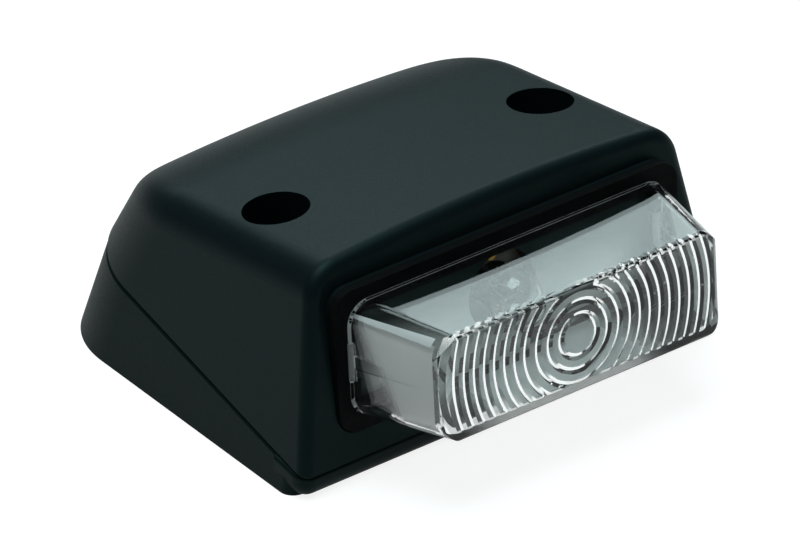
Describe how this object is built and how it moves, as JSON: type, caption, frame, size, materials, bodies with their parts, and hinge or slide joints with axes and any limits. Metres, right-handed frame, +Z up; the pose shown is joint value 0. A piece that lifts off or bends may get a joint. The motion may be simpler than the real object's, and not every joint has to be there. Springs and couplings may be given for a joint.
{
  "type": "roof marker lamp",
  "caption": "Roof marker lamp: a rounded black housing with deep screw wells on a wedge base, and a clear box lens with ring prisms over a bayonet bulb.",
  "frame": {"origin": "midway between the fixing holes, on the mounting plane", "axes": "+Z up from the roof, the lens faces -Y, +X to the right seen from the front"},
  "size_m": [0.1046, 0.1077, 0.0477],
  "materials": {
    "housing_abs": "satin black moulded ABS",
    "wedge_polypropylene": "matt black moulded polypropylene",
    "lens_acrylic": "clear moulded acrylic",
    "seal_rubber": "matt black rubber",
    "laminate": "brown paper laminate",
    "zinc_steel": "zinc-plated steel",
    "plated_brass": "nickel-plated brass",
    "brass": "bare brass",
    "spring_steel": "drawn steel wire",
    "cap_brass": "drawn brass",
    "cap_glass": "black fused glass",
    "solder": "tinned solder",
    "bulb_glass": "clear blown glass",
    "lead_wire": "nickel wire",
    "tungsten": "coiled tungsten wire"
  },
  "bodies": {
    "root": {"housing": "housing_abs", "wedge_base": "wedge_polypropylene", "lens": "lens_acrylic", "lens_seal": "seal_rubber", "holder_plate": "laminate", "plate_screws": "zinc_steel", "holder_shell": "plated_brass", "shell_rivets": "brass", "earth_terminal": "brass", "end_insulator": "laminate", "live_terminal": "brass", "contact_disc": "laminate", "centre_contact": "brass", "contact_spring": "spring_steel", "bulb_cap": "cap_brass", "bulb_cap_insulator": "cap_glass", "bulb_tip": "solder", "bulb_glass": "bulb_glass", "bulb_stem": "bulb_glass", "filament_leads": "lead_wire", "filament": "tungsten", "cable_grommet": "seal_rubber"}
  },
  "joints": []
}
